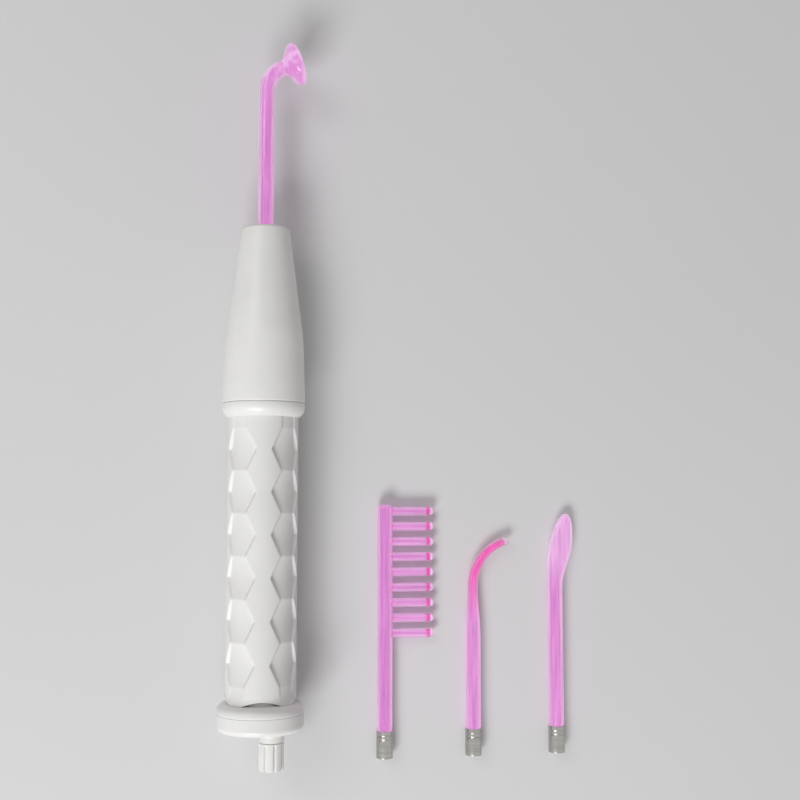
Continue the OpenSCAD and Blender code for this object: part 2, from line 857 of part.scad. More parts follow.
module mushroom_glass() {
    bend_z = insert_depth + stem_len;
    fitted() color("orchid") {
        rotate_extrude() difference() {
            polygon(concat(foot_outline(bend_z), [[0, bend_z]]));
            polygon(concat(hollow_outline(bend_z), [[0, bend_z]]));
        }
        translate([0, 0, bend_z]) bent_tube(glass_r, core_r, stem_bend, stem_angle);
        translate([0, 0, bend_z]) after_bend(stem_bend, stem_angle) rotate_extrude() difference() {
            polygon(head_outline(glass_r + weld, rim_r));
            polygon(head_outline(core_r - weld, rim_r - glass_wall));
        }
    }
}

module mushroom_ferrule() {
    fitted() ferrule();
}

// A glass tooth of the comb, or the hollow inside one
module tooth(r) {
    end = glass_r + tooth_len - tooth_r;
    rotate([0, 90, 0]) rod(r, 0, end);
    translate([end, 0, 0]) rotate([0, 90, 0]) dome(r);
}

module comb_glass() {
    top = insert_depth + comb_len;
    first = top - glass_wall - tooth_r;
    loose(comb_x) color("orchid") difference() {
        union() {
            rotate_extrude() polygon(concat(foot_outline(top - comb_round),
                arc(glass_r - comb_round, top - comb_round, comb_round, 0, 90), [[0, top]]));
            translate([0, 0, top - bite]) rod(pip_r, 0, bite + pip_h);
            for (i = [0:comb_teeth - 1]) translate([0, 0, first - i * tooth_pitch]) tooth(tooth_r);
        }
        rotate_extrude() polygon(concat(hollow_outline(top - glass_wall), [[0, top - glass_wall]]));
        for (i = [0:comb_teeth - 1]) translate([0, 0, first - i * tooth_pitch]) tooth(tooth_r - glass_wall);
    }
}

module comb_ferrule() {
    loose(comb_x) ferrule();
}

module point_glass() {
    taper_z = insert_depth + point_len;
    bend_z = taper_z + taper_len;
    in_r = point_r - glass_wall;
    loose(comb_x + point_x) color("orchid") {
        rotate_extrude() difference() {
            polygon(concat(foot_outline(taper_z), [[point_r, bend_z], [0, bend_z]]));
            polygon(concat(hollow_outline(taper_z), [[in_r, bend_z], [0, bend_z]]));
        }
        translate([0, 0, bend_z]) bent_tube(point_r, in_r, point_bend, point_angle);
        translate([0, 0, bend_z]) after_bend(point_bend, point_angle) sphere(point_r + weld);
    }
}

module point_ferrule() {
    loose(comb_x + point_x) ferrule();
}

// Flattened leaf of the spoon, shrunk by a margin for the hollow inside it
module leaf(margin) {
    hull() {
        cylinder(r = glass_r - margin, h = bite, $fn = 32);
        translate([leaf_x, 0, leaf_len - belly_drop])
            scale([leaf_w / 2 - margin, leaf_t / 2 - margin, leaf_w / 2 - margin]) sphere(1, $fn = 32);
        translate([leaf_lean, 0, leaf_len - leaf_tip_h])
            scale([leaf_tip_r - margin, leaf_tip_r - margin, leaf_tip_h - margin]) sphere(1, $fn = 32);
    }
}

module spoon_glass() {
    leaf_z = insert_depth + spoon_len;
    loose(comb_x + point_x + spoon_x) color("orchid") difference() {
        union() {
            rotate_extrude() polygon(concat(foot_outline(leaf_z + bite / 2), [[0, leaf_z + bite / 2]]));
            translate([0, 0, leaf_z]) leaf(0);
        }
        rotate_extrude() polygon(concat(hollow_outline(leaf_z + bite / 2), [[0, leaf_z + bite / 2]]));
        translate([0, 0, leaf_z]) leaf(glass_wall);
    }
}

module spoon_ferrule() {
    loose(comb_x + point_x + spoon_x) ferrule();
}

nose_cone();
collar_ring();
grip_sleeve();
inner_tube();
cap_ring();
cap_lid();
cap_screws();
cord_gland();
gland_nut();
mouth_ring();
socket_bush();
socket_cup();
contact_spring();
coil_terminal();
coil_former();
secondary_winding();
primary_winding();
capacitor();
capacitor_wrap();
magnet_yoke();
magnet_core();
magnet_bobbin();
magnet_winding();
hookup_leads();
contact_bridge();
screw_bush();
reed_post();
terminal_block();
terminal_screws();
intensity_knob();
knob_clip();
adjusting_screw();
reed_spring();
armature_plate();
moving_contact();
mushroom_glass();
mushroom_ferrule();
comb_glass();
comb_ferrule();
point_glass();
point_ferrule();
spoon_glass();
spoon_ferrule();
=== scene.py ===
# %% [markdown]
# A violet ray wand is a hand-held high-frequency coil in a plastic handle. A glass electrode plugs
# into its nose, and the thin gas inside the glass glows violet. The wand lies on its back here,
# with three more electrodes beside it. The engineering model is loaded first as a fixed frame, and
# everything made below is set on it.

# %% Load the frame
import json
import math

import bmesh
import bpy
from mathutils import Matrix, Vector


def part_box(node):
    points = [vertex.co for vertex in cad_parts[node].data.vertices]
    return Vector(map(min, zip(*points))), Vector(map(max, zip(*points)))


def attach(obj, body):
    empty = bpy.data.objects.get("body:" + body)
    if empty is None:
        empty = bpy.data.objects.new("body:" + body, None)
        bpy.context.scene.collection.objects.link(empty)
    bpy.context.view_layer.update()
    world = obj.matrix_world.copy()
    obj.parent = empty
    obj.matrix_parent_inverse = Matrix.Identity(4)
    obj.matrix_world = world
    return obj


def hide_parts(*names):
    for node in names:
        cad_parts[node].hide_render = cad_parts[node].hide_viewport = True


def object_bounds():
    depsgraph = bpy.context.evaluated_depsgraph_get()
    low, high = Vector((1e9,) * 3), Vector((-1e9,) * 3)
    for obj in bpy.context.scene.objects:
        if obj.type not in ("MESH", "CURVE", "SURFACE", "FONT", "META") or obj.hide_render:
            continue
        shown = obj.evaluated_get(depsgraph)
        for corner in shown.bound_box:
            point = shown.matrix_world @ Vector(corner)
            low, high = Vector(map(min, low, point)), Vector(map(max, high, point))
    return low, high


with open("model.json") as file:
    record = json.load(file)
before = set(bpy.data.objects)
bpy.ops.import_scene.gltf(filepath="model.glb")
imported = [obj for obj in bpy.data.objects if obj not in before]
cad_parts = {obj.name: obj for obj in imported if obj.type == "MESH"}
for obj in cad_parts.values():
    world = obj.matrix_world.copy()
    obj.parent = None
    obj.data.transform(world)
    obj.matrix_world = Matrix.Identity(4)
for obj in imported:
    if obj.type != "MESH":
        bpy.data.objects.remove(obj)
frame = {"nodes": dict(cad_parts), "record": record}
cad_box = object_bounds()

print("box of the solids in millimetres:", [round(1000 * v, 1) for v in cad_box[1] - cad_box[0]])

# %% [markdown]
# The wand is a stack of turned shells on one axis, so its whole shape hangs on that axis and on a
# few heights along it. Both are measured on the frame's own pieces, so nothing here has to be
# fitted by eye.

# %% Measure the wand
MM = 0.001


def middle(node):
    """The centre of a node's box."""
    low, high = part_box(node)
    return (low + high) / 2


axis = middle("nose_cone")
axis.y = 0
lid_foot_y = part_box("cord_gland")[0].y
cap_top_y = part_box("grip_sleeve")[0].y
grip_top_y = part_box("grip_sleeve")[1].y
collar_top_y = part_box("nose_cone")[0].y
tip_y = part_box("nose_cone")[1].y
print("handle length in millimetres:", round((tip_y - lid_foot_y) / MM, 1))

# %% [markdown]
# The camera looks down on the wand's front from a little left of it, near enough that the rings of
# the end cap and of the collar show as gentle ellipses. A look-at matrix keeps the wand upright in
# the picture, which a tracking constraint would not do for a camera that looks almost straight
# down.

# %% Camera
scene = bpy.context.scene
camera_left = 20 * MM
camera_along = 115 * MM
camera_height = 605 * MM
camera_place = Vector((axis.x - camera_left, lid_foot_y + camera_along, camera_height))
camera_aim = Vector((-1 * MM, 0, axis.z / 2))
back = (camera_place - camera_aim).normalized()
right = Vector((0, 1, 0)).cross(back).normalized()
camera_data = bpy.data.cameras.new("studio_camera")
camera_data.sensor_width = 36
camera_data.lens = 50.5
camera = bpy.data.objects.new("studio_camera", camera_data)
scene.collection.objects.link(camera)
camera_turn = Matrix((right, back.cross(right), back)).transposed().to_4x4()
camera.matrix_world = Matrix.Translation(camera_place) @ camera_turn
bpy.context.scene.camera = camera
print("camera place in millimetres:", [round(v / MM) for v in camera_place])

# %% [markdown]
# White plastic shows its form only by soft shade. One large light from the lower left models it,
# low enough to make the upper end of each hollow bright and its lower end dark, and a weaker one
# from above lifts the nose. Area lights are used because their size decides how soft a shadow is.

# %% Light
scene.view_settings.view_transform = "Standard"


def softbox(name, place, size, power):
    """An area light that faces the middle of the set."""
    lamp = bpy.data.lights.new(name, "AREA")
    lamp.shape = "RECTANGLE"
    lamp.size, lamp.size_y = size
    lamp.energy = power
    light = bpy.data.objects.new(name, lamp)
    light.location = place
    light.rotation_euler = (-Vector(place)).to_track_quat("-Z", "Y").to_euler()
    scene.collection.objects.link(light)


softbox("key_light", place=(-0.8, -1.65, 1.4), size=(1.2, 0.8), power=34.5)
softbox("top_light", place=(-1.2, 1.0, 1.5), size=(1.0, 1.0), power=7)

# %% [markdown]
# The world adds an even fill, which stands for the light that the walls of a studio throw back. It
# is brighter for rays that come from the camera, from gloss and through glass, so that metal and
# glass find a pale room to mirror while the shade on the plastic stays soft.

# %% World
world = bpy.data.worlds.new("studio")
world.use_nodes = True
scene.world = world
room, wires = world.node_tree.nodes, world.node_tree.links
fill = room["Background"]
fill.inputs["Color"].default_value = (1, 0.985, 0.965, 1)
fill.inputs["Strength"].default_value = 0.36
seen = room.new("ShaderNodeBackground")
seen.inputs["Color"].default_value = (0.97, 0.98, 1, 1)
seen.inputs["Strength"].default_value = 0.8
path = room.new("ShaderNodeLightPath")
either = room.new("ShaderNodeMath")
either.operation = "MAXIMUM"
any_seen = room.new("ShaderNodeMath")
any_seen.operation = "MAXIMUM"
choose = room.new("ShaderNodeMixShader")
wires.new(path.outputs["Is Camera Ray"], either.inputs[0])
wires.new(path.outputs["Is Glossy Ray"], either.inputs[1])
wires.new(either.outputs[0], any_seen.inputs[0])
wires.new(path.outputs["Is Transmission Ray"], any_seen.inputs[1])
wires.new(any_seen.outputs[0], choose.inputs["Fac"])
wires.new(fill.outputs[0], choose.inputs[1])
wires.new(seen.outputs[0], choose.inputs[2])
wires.new(choose.outputs[0], room["World Output"].inputs["Surface"])
print("fill:", round(fill.inputs["Strength"].default_value, 2))

# %% [markdown]
# Every finish below is two close tints mixed by a soft noise, a roughness that wanders with it, and
# a fine noise for bump, because no moulded, turned or blown surface is one even colour. One helper
# builds that, and each finish only names its tints and the size of its grain. Object coordinates
# keep the grain in millimetres.

# %% Finish helper
NOISE_LOW, NOISE_HIGH = 0.3, 0.7


def new_finish(name):
    """A material, its nodes and links, and its Principled shader."""
    material = bpy.data.materials.new(name)
    material.use_nodes = True
    tree = material.node_tree
    return material, tree.nodes, tree.links, tree.nodes["Principled BSDF"]


def noise_at(nodes, links, size, stretch=(1, 1, 1), detail=4):
    """A noise whose grain is about size metres, longer along an axis where stretch is small."""
    place = nodes.new("ShaderNodeTexCoord")
    turn = nodes.new("ShaderNodeMapping")
    turn.inputs["Scale"].default_value = stretch
    noise = nodes.new("ShaderNodeTexNoise")
    noise.inputs["Scale"].default_value = 1 / size
    noise.inputs["Detail"].default_value = detail
    links.new(place.outputs["Object"], turn.inputs["Vector"])
    links.new(turn.outputs["Vector"], noise.inputs["Vector"])
    return noise.outputs[0]


def ramp(nodes, links, value, stops):
    """A colour ramp over value, with stops of (position, colour)."""
    bar = nodes.new("ShaderNodeValToRGB")
    while len(bar.color_ramp.elements) < len(stops):
        bar.color_ramp.elements.new(1)
    for element, (at, colour) in zip(bar.color_ramp.elements, stops):
        element.position = at
        element.color = (*colour, 1)
    links.new(value, bar.inputs["Fac"])
    return bar.outputs["Color"]


def wander(nodes, links, value, low, high):
    """A value from 0 to 1 spread over low to high."""
    spread = nodes.new("ShaderNodeMapRange")
    spread.inputs["To Min"].default_value = low
    spread.inputs["To Max"].default_value = high
    links.new(value, spread.inputs["Value"])
    return spread.outputs["Result"]


def raise_grain(nodes, links, shader, height, depth, strength=1.0):
    """Bump on a shader from a height of depth metres."""
    bump = nodes.new("ShaderNodeBump")
    bump.inputs["Distance"].default_value = depth
    bump.inputs["Strength"].default_value = strength
    links.new(height, bump.inputs["Height"])
    links.new(bump.outputs["Normal"], shader.inputs["Normal"])


def grained(name, dark, light, rough, patch, grain, depth, stretch=(1, 1, 1), **sockets):
    """A finish of two tints in patches, with a bump of the given grain and depth in metres."""
    material, nodes, links, shader = new_finish(name)
    patches = noise_at(nodes, links, patch, stretch)
    tint = ramp(nodes, links, patches, [(NOISE_LOW, dark), (NOISE_HIGH, light)])
    links.new(tint, shader.inputs["Base Color"])
    links.new(wander(nodes, links, patches, *rough), shader.inputs["Roughness"])
    raise_grain(nodes, links, shader, noise_at(nodes, links, grain, stretch, 2), depth)
    for socket, value in sockets.items():
        shader.inputs[socket.replace("_", " ")].default_value = value
    return material


print("finish helper ready")

# %% [markdown]
# The handle is moulded in white plastic. The nose, the collar, the cap and the knob have a satin
# gloss. The grip has the finer, duller texture of a spark-eroded mould. Both whites are warm and
# far from pure, so that the lit side keeps its shade.

# %% Plastics
white_shell = grained("white_shell", (0.775, 0.772, 0.755), (0.82, 0.818, 0.805), (0.3, 0.4),
                      patch=22 * MM, grain=0.5 * MM, depth=0.012 * MM)
white_grip = grained("white_grip", (0.76, 0.757, 0.742), (0.80, 0.798, 0.785), (0.44, 0.54),
                     patch=18 * MM, grain=0.35 * MM, depth=0.02 * MM)
black_moulding = grained("black_moulding", (0.018, 0.018, 0.019), (0.03, 0.03, 0.031), (0.42, 0.55),
                         patch=5 * MM, grain=0.3 * MM, depth=0.03 * MM)
black_rubber = grained("black_rubber", (0.02, 0.02, 0.02), (0.035, 0.034, 0.033), (0.7, 0.85),
                       patch=3 * MM, grain=0.25 * MM, depth=0.03 * MM)
brown_phenolic = grained("brown_phenolic", (0.085, 0.036, 0.016), (0.15, 0.066, 0.028), (0.3, 0.45),
                         patch=4 * MM, grain=0.5 * MM, depth=0.02 * MM, stretch=(1, 0.15, 1))
red_sleeve = grained("red_sleeve", (0.26, 0.012, 0.012), (0.34, 0.02, 0.018), (0.4, 0.5),
                     patch=3 * MM, grain=0.3 * MM, depth=0.02 * MM)
amber_resin = grained("amber_resin", (0.42, 0.25, 0.045), (0.52, 0.33, 0.07), (0.15, 0.25),
                      patch=6 * MM, grain=2 * MM, depth=0.05 * MM)
white_porcelain = grained("white_porcelain", (0.76, 0.73, 0.66), (0.82, 0.80, 0.74), (0.08, 0.16),
                          patch=5 * MM, grain=1.5 * MM, depth=0.02 * MM, Coat_Weight=0.6)
grey_felt = grained("grey_felt", (0.20, 0.19, 0.175), (0.33, 0.315, 0.29), (0.9, 1.0),
                    patch=1.2 * MM, grain=0.4 * MM, depth=0.25 * MM, Sheen_Weight=0.5)
print("plastics and insulators ready")

# %% [markdown]
# The ferrules and the brass parts are turned, so their fine marks run round the piece: the noise is
# drawn out across the axis and pressed together along it. The steel, the iron and the silver are
# pressed or drawn, so their grain runs no particular way.

# %% Metals
round_marks = (0.15, 3, 0.15)
bright_nickel = grained("bright_nickel", (0.40, 0.385, 0.355), (0.50, 0.485, 0.455), (0.14, 0.24),
                        patch=4 * MM, grain=0.25 * MM, depth=0.01 * MM, stretch=round_marks,
                        Metallic=1.0)
turned_brass = grained("turned_brass", (0.55, 0.36, 0.10), (0.66, 0.46, 0.16), (0.2, 0.35),
                       patch=4 * MM, grain=0.25 * MM, depth=0.01 * MM, stretch=round_marks,
                       Metallic=1.0)
bright_steel = grained("bright_steel", (0.48, 0.48, 0.49), (0.58, 0.58, 0.59), (0.22, 0.36),
                       patch=3 * MM, grain=0.2 * MM, depth=0.01 * MM, Metallic=1.0)
soft_iron = grained("soft_iron", (0.10, 0.10, 0.11), (0.17, 0.17, 0.18), (0.4, 0.6),
                    patch=3 * MM, grain=0.4 * MM, depth=0.03 * MM, Metallic=1.0)
contact_silver = grained("contact_silver", (0.74, 0.74, 0.73), (0.82, 0.82, 0.81), (0.2, 0.3),
                         patch=1 * MM, grain=0.2 * MM, depth=0.01 * MM, Metallic=1.0)
print("metals ready")

# %% [markdown]
# The windings are enamelled wire laid turn by turn. Modelling every turn would take many thousands
# of faces that nobody sees, so a wave texture draws the turns as bands along the axis and raises
# them a little.

# %% Windings
WAVE_RADIANS = 20


def wound(name, dark, light, pitch):
    """Enamelled wire in turns of the given pitch along Y."""
    material, nodes, links, shader = new_finish(name)
    place = nodes.new("ShaderNodeTexCoord")
    turns = nodes.new("ShaderNodeTexWave")
    turns.bands_direction = "Y"
    turns.inputs["Scale"].default_value = 2 * math.pi / WAVE_RADIANS / pitch
    turns.inputs["Distortion"].default_value = 0.4
    links.new(place.outputs["Object"], turns.inputs["Vector"])
    enamel = ramp(nodes, links, turns.outputs[1], [(0.1, dark), (0.7, light)])
    dulled = wander(nodes, links, noise_at(nodes, links, 2 * MM), 0.2, 0.4)
    links.new(enamel, shader.inputs["Base Color"])
    links.new(dulled, shader.inputs["Roughness"])
    raise_grain(nodes, links, shader, turns.outputs[1], pitch / 3)
    shader.inputs["Metallic"].default_value = 0.8
    return material


copper_turns = wound("copper_turns", (0.20, 0.06, 0.025), (0.62, 0.25, 0.11), 0.6 * MM)
fine_turns = wound("fine_turns", (0.12, 0.035, 0.015), (0.40, 0.14, 0.06), 0.25 * MM)
print("windings ready")

# %% [markdown]
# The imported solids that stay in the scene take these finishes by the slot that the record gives
# them. Their meshes are left alone.

# %% Dress the solids
finish_of_slot = {
    "shell": white_shell, "grip": white_grip, "knob": white_shell, "nickel": bright_nickel,
    "brass": turned_brass, "steel": bright_steel, "iron": soft_iron, "copper": copper_turns,
    "fine_wire": fine_turns, "phenolic": brown_phenolic, "black_plastic": black_moulding,
    "rubber": black_rubber, "felt": grey_felt, "capacitor_case": amber_resin,
    "porcelain": white_porcelain, "lead_sleeve": red_sleeve, "silver": contact_silver,
}


def dress(node, material):
    """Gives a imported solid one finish."""
    mesh = frame["nodes"][node].data
    mesh.materials.clear()
    mesh.materials.append(material)


dressed = [p for p in frame["record"]["subparts"] if p["material_slot"] in finish_of_slot]
for part in dressed:
    dress(part["node"], finish_of_slot[part["material_slot"]])
print("solids dressed:", len(dressed))

# %% [markdown]
# A turned shell is drawn as half an outline and spun about the axis, as on a lathe. Corners that a
# mould rounds are rounded on the outline, while it is still a wire: one vertex bevel there rounds
# the whole edge after the spin.

# %% Lathe helper
SHARP = math.radians(32)


def keep(bm, name, body, slot, material, *nodes):
    """Makes a piece of a finished bmesh and sets it on its body."""
    mesh = bpy.data.meshes.new(name)
    bm.to_mesh(mesh)
    bm.free()
    mesh.shade_smooth()
    mesh.set_sharp_from_angle(angle=SHARP)
    mesh.materials.append(material)
    piece = bpy.data.objects.new(name, mesh)
    scene.collection.objects.link(piece)
    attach(piece, body)
    if nodes:
        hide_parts(*nodes)
    print(name, "has", len(mesh.polygons), "faces")


def turn_round(bm, centre, steps):
    """Spins all that is in a bmesh once about the line along Y through centre."""
    bmesh.ops.spin(bm, geom=bm.verts[:] + bm.edges[:], cent=(centre.x, 0, centre.z),
                   axis=(0, 1, 0), angle=2 * math.pi, steps=steps, use_merge=True)
    bmesh.ops.remove_doubles(bm, verts=bm.verts[:], dist=MM / 1000)


def lathe(outline, centre, steps=144, closed=True):
    """Spins an outline of (radius, y, rounding) about the line along Y through centre."""
    bm = bmesh.new()
    corners = [bm.verts.new((centre.x + r, y, centre.z)) for r, y, _ in outline]
    for start, end in zip(corners, corners[1:]):
        bm.edges.new((start, end))
    if closed:
        bm.edges.new((corners[-1], corners[0]))
    for corner, (_, _, rounding) in zip(corners, outline):
        if rounding:
            bmesh.ops.bevel(bm, geom=[corner], offset=rounding, affect="VERTICES", segments=6,
                            profile=0.5, material=-1)
    turn_round(bm, centre, steps)
    bmesh.ops.recalc_face_normals(bm, faces=bm.faces[:])
    return bm


print("lathe ready, edges sharp from degrees:", round(math.degrees(SHARP)))

# %% [markdown]
# The nose is one moulding: a slow taper, a soft shoulder, then the cone that ends in the mouth of
# the socket. Inside are the sleeve for the socket and a groove for the rubber ring. The outline
# runs down the outside and back up the inside, so one spin makes the whole shell.

# %% Nose
tip_r = 12.65 * MM
cone_r = 20.1 * MM
skirt_r = 20.5 * MM
collar_r = 21.4 * MM
strip_r = 18 * MM
bore_r = 14.2 * MM
shell_t = 2.5 * MM
skirt_in = skirt_r - shell_t
cone_len = 57 * MM
cone_y = tip_y - cone_len
skirt_y = cone_y - 6 * MM
tip_round = 1.6 * MM
cone_round = 3 * MM
seam = 0.8 * MM
mouth_r = 4.7 * MM
mouth_round = 0.4 * MM
lip_foot_y = tip_y - 4 * MM
groove_r = 6.25 * MM
groove_foot_y = tip_y - 2.85 * MM
groove_top_y = tip_y - 1.15 * MM
sleeve_in = 8.45 * MM
sleeve_r = 10.25 * MM
sleeve_foot_y = tip_y - 41.15 * MM
cavity_depth = 17 * MM
cavity_y = tip_y - cavity_depth
cavity_r = tip_r + (cone_r - tip_r) * cavity_depth / cone_len - shell_t

nose = lathe([
    (tip_r, tip_y, tip_round), (cone_r, cone_y, cone_round), (skirt_r, skirt_y, cone_round),
    (collar_r, collar_top_y, seam), (skirt_in, collar_top_y, 0), (skirt_in, skirt_y, 0),
    (cavity_r, cavity_y, 0), (sleeve_r, cavity_y, 0), (sleeve_r, sleeve_foot_y, 0),
    (sleeve_in, sleeve_foot_y, 0), (sleeve_in, lip_foot_y, 0), (mouth_r, lip_foot_y, 0),
    (mouth_r, groove_foot_y, 0), (groove_r, groove_foot_y, 0), (groove_r, groove_top_y, 0),
    (mouth_r, groove_top_y, 0), (mouth_r, tip_y, mouth_round)], axis)
keep(nose, "nose_shell", "handle", "shell", white_shell, "nose_cone")

# %% [markdown]
# The collar below the nose is a separate ring, and the fine groove between them is two small rounds
# that meet. Its lower side sweeps in to the grip as part of a circle, so one corner of the outline
# is rounded by the length of the circle's tangents. A spigot reaches up into the nose.

# %% Collar
collar_round = 6 * MM
collar_lean = math.acos(1 - (collar_r - strip_r) / collar_round)
collar_tangent = collar_round * math.tan(collar_lean / 2)
collar_knee_y = grip_top_y + collar_round * math.sin(collar_lean) - collar_tangent
spigot_top_y = collar_top_y + 12 * MM
spigot_fit = 0.05 * MM
spigot_r = skirt_in - spigot_fit
knee_round = 0.97 * collar_tangent
collar = lathe([
    (collar_r, collar_top_y, seam), (collar_r, collar_knee_y, knee_round),
    (strip_r, grip_top_y, 0), (bore_r, grip_top_y, 0), (bore_r, spigot_top_y, 0),
    (spigot_r, spigot_top_y, 0), (spigot_r, collar_top_y, 0)], axis)
keep(collar, "collar_shell", "handle", "shell", white_shell, "collar_ring")

# %% [markdown]
# The grip has four smooth strips along it. Their zigzag edges leave a column of hexagons between
# each pair, and every hexagon is dished for a fingertip. Each strip ends in a low arch above the
# cap, while the columns flare out to it. Such a relief is easiest to write as one function that
# gives the radius at any angle and height.

# %% Grip pattern
body_r = 17.4 * MM
root_r = 15.3 * MM
strip_wide = strip_r * math.sin(math.radians(30.5))
strip_neck = strip_r * math.sin(math.radians(13))
hex_rows = 6
hex_depth = 1.15 * MM
hex_foot_y = cap_top_y + 9 * MM
hex_top_y = grip_top_y - 6 * MM
hex_pitch = (hex_top_y - hex_foot_y) / hex_rows
strip_gap = 2.0 * MM
flare = 1.4 * MM
flare_h = 8.6 * MM
flare_r = (flare_h ** 2 + flare ** 2) / (2 * flare)
edge_soft = 0.65 * MM
arch_soft = 0.3 * MM
quarter = math.pi / 2


def step(value, soft):
    """Rises smoothly from 0 to 1 while value goes from -soft to soft."""
    t = min(max((value + soft) / (2 * soft), 0), 1)
    return t * t * (3 - 2 * t)


def zigzag(y):
    """1 at a height between two hexagons, falling to 0 at the middle of one."""
    row = (y - hex_foot_y) / hex_pitch
    return abs(2 * (row - math.floor(row)) - 1) if 0 < row < hex_rows else 1


def strip_half(y):
    """Half the width of a strip at a height."""
    return strip_neck + (strip_wide - strip_neck) * zigzag(y)


def from_strip(angle):
    """Width along the grip's side from the middle of the nearest strip."""
    return strip_r * math.sin(abs((angle + quarter / 2) % quarter - quarter / 2))


def foot_arch(angle):
    """Height of the gap under a strip at an angle."""
    return max(strip_gap * (1 - (from_strip(angle) / strip_wide) ** 2), 0)


def grip_radius(angle, y):
    """Radius of the grip at an angle from its front and a height along it."""
    hollow = body_r - hex_depth * (1 - zigzag(y) ** 2)
    rise = flare_h - (y - cap_top_y)
    if rise > 0:
        hollow += flare_r - math.sqrt(flare_r ** 2 - rise ** 2)
    on_strip = step(strip_half(y) - from_strip(angle), edge_soft)
    above = step(y - cap_top_y - foot_arch(angle), arch_soft)
    strip = root_r + (max(strip_r, hollow) - root_r) * above
    return hollow + (strip - hollow) * on_strip


middle_y = hex_foot_y + hex_pitch / 2
print("radius in a hollow and on a strip in millimetres:",
      [round(grip_radius(angle, middle_y) / MM, 2) for angle in (quarter / 2, 0)])

# %% [markdown]
# A plain grid of vertices would cut the slanting edges of the strips into steps. So the mesh is
# fitted first: its columns are shifted to run along the zigzag edges, and its rows near the foot
# along the arches, with many of them where the surface bends most.

# %% Fit the mesh to the pattern
foot_zone = 6 * MM
strip_share, edge_share = 0.25, 0.6
gap_share, arch_share = 0.15, 0.5


def read_off(marks, value):
    """Reads a value off the straight lines between marks."""
    for (low, first), (high, last) in zip(marks, marks[1:]):
        if value <= high:
            return first + (last - first) * (value - low) / (high - low)
    return marks[-1][1]


def fitted_angle(angle, y):
    """An angle shifted so that many columns of the mesh run along the edges of the strips."""
    strip = round(angle / quarter) * quarter
    edge, soft = math.asin(strip_half(y) / strip_r), edge_soft / strip_r
    marks = [(0, 0), (strip_share, edge - soft), (edge_share, edge + soft), (1, quarter / 2)]
    off = read_off(marks, abs(angle - strip) / (quarter / 2))
    return strip + math.copysign(off, angle - strip)


def fitted_height(angle, y):
    """A height shifted so that many rows of the mesh near the foot run along the arches."""
    arch, rise = foot_arch(angle), y - cap_top_y
    low, high = max(arch - arch_soft, arch_soft / 4), max(arch + arch_soft, arch_soft * 2)
    marks = [(0, 0), (gap_share, low), (arch_share, high), (1, foot_zone)]
    return cap_top_y + read_off(marks, rise / foot_zone) if rise < foot_zone else y


print("columns at the edge of a strip:", round(100 * (edge_share - strip_share)), "percent")

# %% [markdown]
# The grip itself is a dense spun tube. Each vertex of its outside is shifted to its fitted place
# and then set to the radius that the pattern gives there. The bore and both ends stay plain,
# because the works and the caps fit them.

# %% Grip
grip_cuts = 260
grip_steps = 256
grip = bmesh.new()
section = [(strip_r, cap_top_y), (strip_r, grip_top_y), (bore_r, grip_top_y),
           (bore_r, cap_top_y)]
corners = [grip.verts.new((axis.x + r, y, axis.z)) for r, y in section]
outside = grip.edges.new(corners[:2])
for pair in zip(corners[1:], corners[2:] + corners[:1]):
    grip.edges.new(pair)
bmesh.ops.subdivide_edges(grip, edges=[outside], cuts=grip_cuts)
turn_round(grip, axis, grip_steps)
for vert in grip.verts:
    out = Vector((vert.co.x - axis.x, 0, vert.co.z - axis.z))
    if out.length > body_r:
        angle = fitted_angle(math.atan2(out.x, out.z), vert.co.y)
        vert.co.y = fitted_height(angle, vert.co.y)
        radius = grip_radius(angle, vert.co.y)
        vert.co.x, vert.co.z = axis.x + radius * math.sin(angle), axis.z + radius * math.cos(angle)
bmesh.ops.recalc_face_normals(grip, faces=grip.faces[:])
keep(grip, "grip_shell", "handle", "grip", white_grip, "grip_sleeve")

# %% [markdown]
# The end cap is a ring that holds the grip and a lid screwed to it from below. The ring's shoulder
# is a generous round, and the seam below it is another fine groove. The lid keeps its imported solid,
# which has the holes for the screws and the inlet.

# %% Cap ring
cap_r = 22.1 * MM
lid_top_y = lid_foot_y + 8.8 * MM
cap_shoulder = 4.4 * MM
cap_seam = 0.4 * MM
ring_foot_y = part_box("cap_ring")[0].y
ring_spigot_r = cap_r - 2.55 * MM
cap_ring = lathe([
    (cap_r, cap_top_y, cap_shoulder), (cap_r, lid_top_y, cap_seam),
    (ring_spigot_r, lid_top_y, 0), (ring_spigot_r, ring_foot_y, 0),
    (bore_r, ring_foot_y, 0), (bore_r, cap_top_y, 0)], axis)
keep(cap_ring, "cap_ring_shell", "handle", "shell", white_shell, "cap_ring")

# %% [markdown]
# The knob is turned like the rest, together with its shaft. Its side is cut into many short edges
# before the spin, so that the flutes have vertices to bend.

# %% Knob
knob_low, knob_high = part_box("intensity_knob")
knob_axis = middle("intensity_knob")
knob_r = (knob_high.x - knob_low.x) / 2
shaft_r = 3 * MM
knob_top_y = lid_foot_y - 6.3 * MM
clip_y = lid_foot_y + 3.3 * MM
clip_groove_r = 2.4 * MM
clip_top_y = clip_y + 0.8 * MM
knob_edge = 0.3 * MM
knob_cuts = 40
knob_steps = 240

